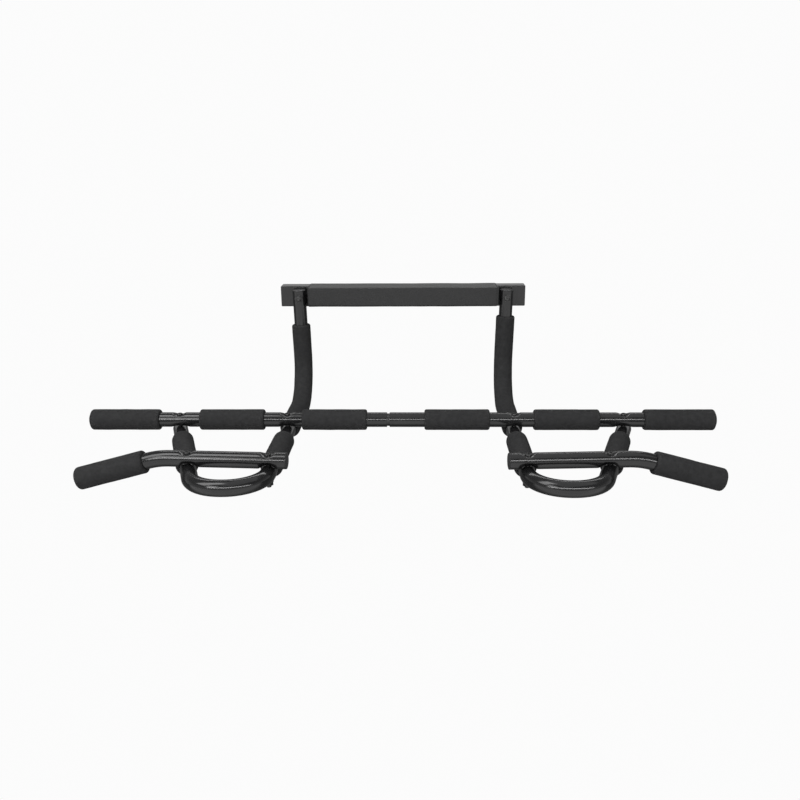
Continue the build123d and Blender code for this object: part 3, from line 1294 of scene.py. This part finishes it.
@dataclass
class DoorBracket:
    """The folded bracket and the foam pad that rests on the door casing."""

    finishes: Finishes
    edge: float = 0.0022
    crown: float = 0.009
    corner: float = 0.0012
    slice: float = 0.005
    wave_size: float = 0.05
    unevenness: float = 0.0009

    def build(self) -> None:
        """Builds the pad and dresses the bracket."""
        paint_nodes(self.finishes.steel, ["door_bracket"])
        pad = self.cut_pad()
        self.round_pad(pad)
        self.soften_pad(pad)
        place(pad, self.finishes.pad, Slot.PAD, "door_pad")

    def cut_pad(self) -> bpy.types.Object:
        """Cuts the pad from a block, with the lip that laps back over the bracket.

        Returns:
            The pad with sharp edges.
        """
        low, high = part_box("door_pad")
        steel_low, steel_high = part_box("door_bracket")
        deselect()
        bpy.ops.mesh.primitive_cube_add(
            size=1,
            location=((low.x + high.x) / 2, (low.y + steel_low.y) / 2, (low.z + high.z) / 2),
            scale=(high.x - low.x, steel_low.y - low.y, high.z - low.z),
        )
        pad = bpy.context.object
        pad.name = "foam_door_pad"
        bpy.ops.object.transform_apply(location=True, rotation=True, scale=True)
        with edit(pad):
            bpy.ops.mesh.select_all(action="SELECT")
            bpy.ops.mesh.bisect(plane_co=steel_high, plane_no=UP)
            pick_faces(pad, lambda centre, normal: normal.y > 0.9 and centre.z > steel_high.z)
            bpy.ops.mesh.extrude_region_move(TRANSFORM_OT_translate={"value": (0, high.y - steel_low.y, 0)})
        close_up(pad)
        return pad

    def round_pad(self, pad: bpy.types.Object) -> None:
        """Rounds the pad's wall side, most of all along its top, and softens its ends.

        Args:
            pad: the pad with sharp edges.
        """
        low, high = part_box("door_pad")

        def along_front(edge: bmesh.types.BMEdge, height: float) -> bool:
            """Whether an edge runs along the wall side at a height."""
            return all(abs(v.co.z - height) < MERGE and v.co.y < low.y + MERGE for v in edge.verts)

        with edit(pad):
            pick_edges(pad, lambda edge: along_front(edge, high.z))
            bpy.ops.mesh.bevel(offset=self.crown, segments=9, affect="EDGES")
            pick_edges(pad, lambda edge: along_front(edge, low.z))
            bpy.ops.mesh.bevel(offset=self.edge, segments=4, affect="EDGES")
            pick_edges(pad, lambda edge: len({round(abs(face.normal.x)) for face in edge.link_faces}) == 2)
            bpy.ops.mesh.bevel(offset=self.corner, segments=3, affect="EDGES")

    def soften_pad(self, pad: bpy.types.Object) -> None:
        """Slices the pad finely and lets its faces wander as soft foam does.

        Args:
            pad: the rounded pad.
        """
        low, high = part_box("door_pad")
        with edit(pad):
            for axis, start, end in ((0, low.x, high.x), (1, low.y, high.y), (2, low.z, high.z)):
                normal = Vector((axis == 0, axis == 1, axis == 2))
                count = int((end - start) / self.slice)
                for number in range(1, count + 1):
                    bpy.ops.mesh.select_all(action="SELECT")
                    at = normal * (start + (end - start) * number / (count + 1))
                    bpy.ops.mesh.bisect(plane_co=at, plane_no=normal)
        close_up(pad)
        unsettle(pad, self.wave_size, self.unevenness)


@dataclass
class Fasteners:
    """Bolts, nuts and washers, which keep their own shapes."""

    finishes: Finishes

    def build(self) -> None:
        """Dresses every fastener."""
        paint_nodes(self.finishes.bolt, ["frame_bolts", "bracket_bolts", "bar_joint_screws"])
        washers = ["frame_saddle_washers", "bracket_saddle_washers", "bracket_washers"]
        paint_nodes(self.finishes.nut, ["frame_nuts", "bracket_nuts", *washers])


# ---------------------------------------------------------------------------- studio


@dataclass(frozen=True)
class Softbox:
    """Rectangular lamp that faces the bar, placed from the middle of the bar in metres."""

    name: str
    at: tuple[float, float, float]
    size: tuple[float, float]
    radiance: float

    def hang(self, middle: Vector) -> None:
        """Hangs the lamp, whose face is as bright as its radiance where white paper is 1.

        Args:
            middle: the middle of the bar.
        """
        data = bpy.data.lights.new(self.name, "AREA")
        data.shape = "RECTANGLE"
        data.size, data.size_y = self.size
        data.energy = self.radiance * pi * self.size[0] * self.size[1]
        lamp = bpy.data.objects.new(self.name, data)
        bpy.context.scene.collection.objects.link(lamp)
        lamp.location = middle + Vector(self.at)
        lamp.rotation_euler = Vector(self.at).to_track_quat("Z", "Y").to_euler()


@dataclass
class Studio:
    """Pale floor, soft lights and the camera."""

    layout: Layout
    softboxes: tuple[Softbox, ...] = (
        Softbox("front_strip", at=(0.1, -1.1, 0.46), size=(2.4, 0.11), radiance=10.0),
        Softbox("upper_left", at=(-1.15, -0.5, 1.65), size=(0.8, 1.6), radiance=3.4),
        Softbox("front_left", at=(-1.05, -1.45, 1.05), size=(0.7, 0.7), radiance=3.4),
        Softbox("overhead", at=(0.3, -0.3, 2.6), size=(3.6, 3.0), radiance=0.5),
        Softbox("rear_strip", at=(0, 1.6, 1.5), size=(2.6, 0.3), radiance=3.0),
    )
    floor_drop: float = 0.45
    floor_size: float = 60.0
    paper: float = 0.97
    paper_matte: tuple[float, float] = (0.46, 0.50)
    reflection_fade: tuple[float, float] = (-0.75, -0.25)
    rear_reflection: float = 0.12
    horizon: float = 0.46
    horizon_top: float = 0.16
    ceiling: float = 0.16
    ceiling_foot: float = 0.45
    lens: float = 38.0
    pitch: float = radians(17.14)
    yaw: float = radians(1.46)
    roll: float = radians(-0.43)
    camera_offset: tuple[float, float, float] = (0.0302, -1.1995, 0.4008)

    def build(self) -> None:
        """Builds the whole studio."""
        self.build_floor()
        self.build_world()
        for softbox in self.softboxes:
            softbox.hang(self.middle())
        self.build_camera()

    def middle(self) -> Vector:
        """The middle of the bar."""
        return Vector((0, self.layout.bar_y, self.layout.bar_z))

    def build_floor(self) -> None:
        """Lays a plain floor of white paper below the hanging bar."""
        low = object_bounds()[0]
        deselect()
        bpy.ops.mesh.primitive_plane_add(size=self.floor_size, location=(0, 0, low.z - self.floor_drop))
        floor = bpy.context.object
        floor.name = "studio_floor"
        floor.data.materials.append(self.floor_paper())
        floor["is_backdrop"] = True

    def floor_paper(self) -> bpy.types.Material:
        """Builds the paper: evenly white to the camera, dimmer in reflections behind the bar.

        Returns:
            The material.
        """
        sheet = Sheet("floor_paper")
        dark, light = self.paper_matte
        fibres = sheet.tint(sheet.ramp(sheet.noise(4.0, 3.0), 0.0, 1.0), (dark,) * 3, (light,) * 3)
        matte = sheet.add("ShaderNodeBsdfDiffuse")
        sheet.link(fibres, matte.inputs["Color"])
        split = sheet.add("ShaderNodeSeparateXYZ")
        sheet.link(sheet.place, split.inputs["Vector"])
        fading = sheet.ramp(split.outputs["Y"], 1.0, self.rear_reflection, *self.reflection_fade)
        fading.node.interpolation_type = "SMOOTHSTEP"
        ray = sheet.add("ShaderNodeLightPath").outputs
        glow = sheet.add("ShaderNodeEmission")
        glow.inputs["Color"].default_value = (self.paper, self.paper, self.paper, 1)
        sheet.link(sheet.larger(ray["Is Camera Ray"], fading), glow.inputs["Strength"])
        mix = sheet.add("ShaderNodeMixShader")
        sheet.link(sheet.larger(ray["Is Camera Ray"], ray["Is Glossy Ray"]), mix.inputs["Fac"])
        sheet.link(matte.outputs["BSDF"], mix.inputs[1])
        sheet.link(glow.outputs["Emission"], mix.inputs[2])
        sheet.link(mix.outputs["Shader"], sheet.output.inputs["Surface"])
        return sheet.material

    def build_world(self) -> None:
        """Surrounds the bar with a pale horizon under a dim ceiling."""
        world = bpy.data.worlds.new("studio")
        bpy.context.scene.world = world
        world.use_nodes = True
        nodes, links = world.node_tree.nodes, world.node_tree.links
        nodes.clear()
        split = nodes.new("ShaderNodeSeparateXYZ")
        links.new(nodes.new("ShaderNodeTexCoord").outputs["Generated"], split.inputs["Vector"])
        ramp = nodes.new("ShaderNodeValToRGB")
        low, high = ramp.color_ramp.elements
        low.position, low.color = self.horizon_top, (self.horizon, self.horizon, self.horizon, 1)
        high.position, high.color = self.ceiling_foot, (self.ceiling, self.ceiling, self.ceiling, 1)
        links.new(split.outputs["Z"], ramp.inputs["Fac"])
        lit = nodes.new("ShaderNodeBackground")
        links.new(ramp.outputs["Color"], lit.inputs["Color"])
        seen = nodes.new("ShaderNodeBackground")
        seen.inputs["Color"].default_value = (self.paper, self.paper, self.paper, 1)
        mix = nodes.new("ShaderNodeMixShader")
        links.new(nodes.new("ShaderNodeLightPath").outputs["Is Camera Ray"], mix.inputs["Fac"])
        links.new(lit.outputs["Background"], mix.inputs[1])
        links.new(seen.outputs["Background"], mix.inputs[2])
        links.new(mix.outputs["Shader"], nodes.new("ShaderNodeOutputWorld").inputs["Surface"])

    def build_camera(self) -> None:
        """Sets up the camera in front of and above the bar."""
        data = bpy.data.cameras.new("camera")
        data.lens = self.lens
        data.sensor_width = 36.0
        data.clip_start, data.clip_end = 0.01, 100.0
        camera = bpy.data.objects.new("camera", data)
        bpy.context.scene.collection.objects.link(camera)
        camera.location = self.middle() + Vector(self.camera_offset)
        level = Matrix.Rotation(self.yaw, 4, "Z") @ Matrix.Rotation(pi / 2 - self.pitch, 4, "X")
        camera.rotation_euler = (level @ Matrix.Rotation(self.roll, 4, "Z")).to_euler()
        bpy.context.scene.camera = camera
        bpy.context.scene.view_settings.view_transform = "Standard"


# ---------------------------------------------------------------------------- all of it


def main() -> None:
    """Builds the bar piece by piece, then the studio."""
    logging.basicConfig(level=logging.INFO, format="%(name)s %(message)s")
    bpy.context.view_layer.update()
    layout = Layout.from_frame()
    finishes = Finishes.build()
    MainBar(layout, finishes).build()
    SideFrames(layout, finishes).build()
    UpperArms(layout, finishes).build()
    Handles(layout, finishes).build()
    DoorBracket(finishes).build()
    Fasteners(finishes).build()
    Studio(layout).build()


if __name__ == "__main__":
    main()
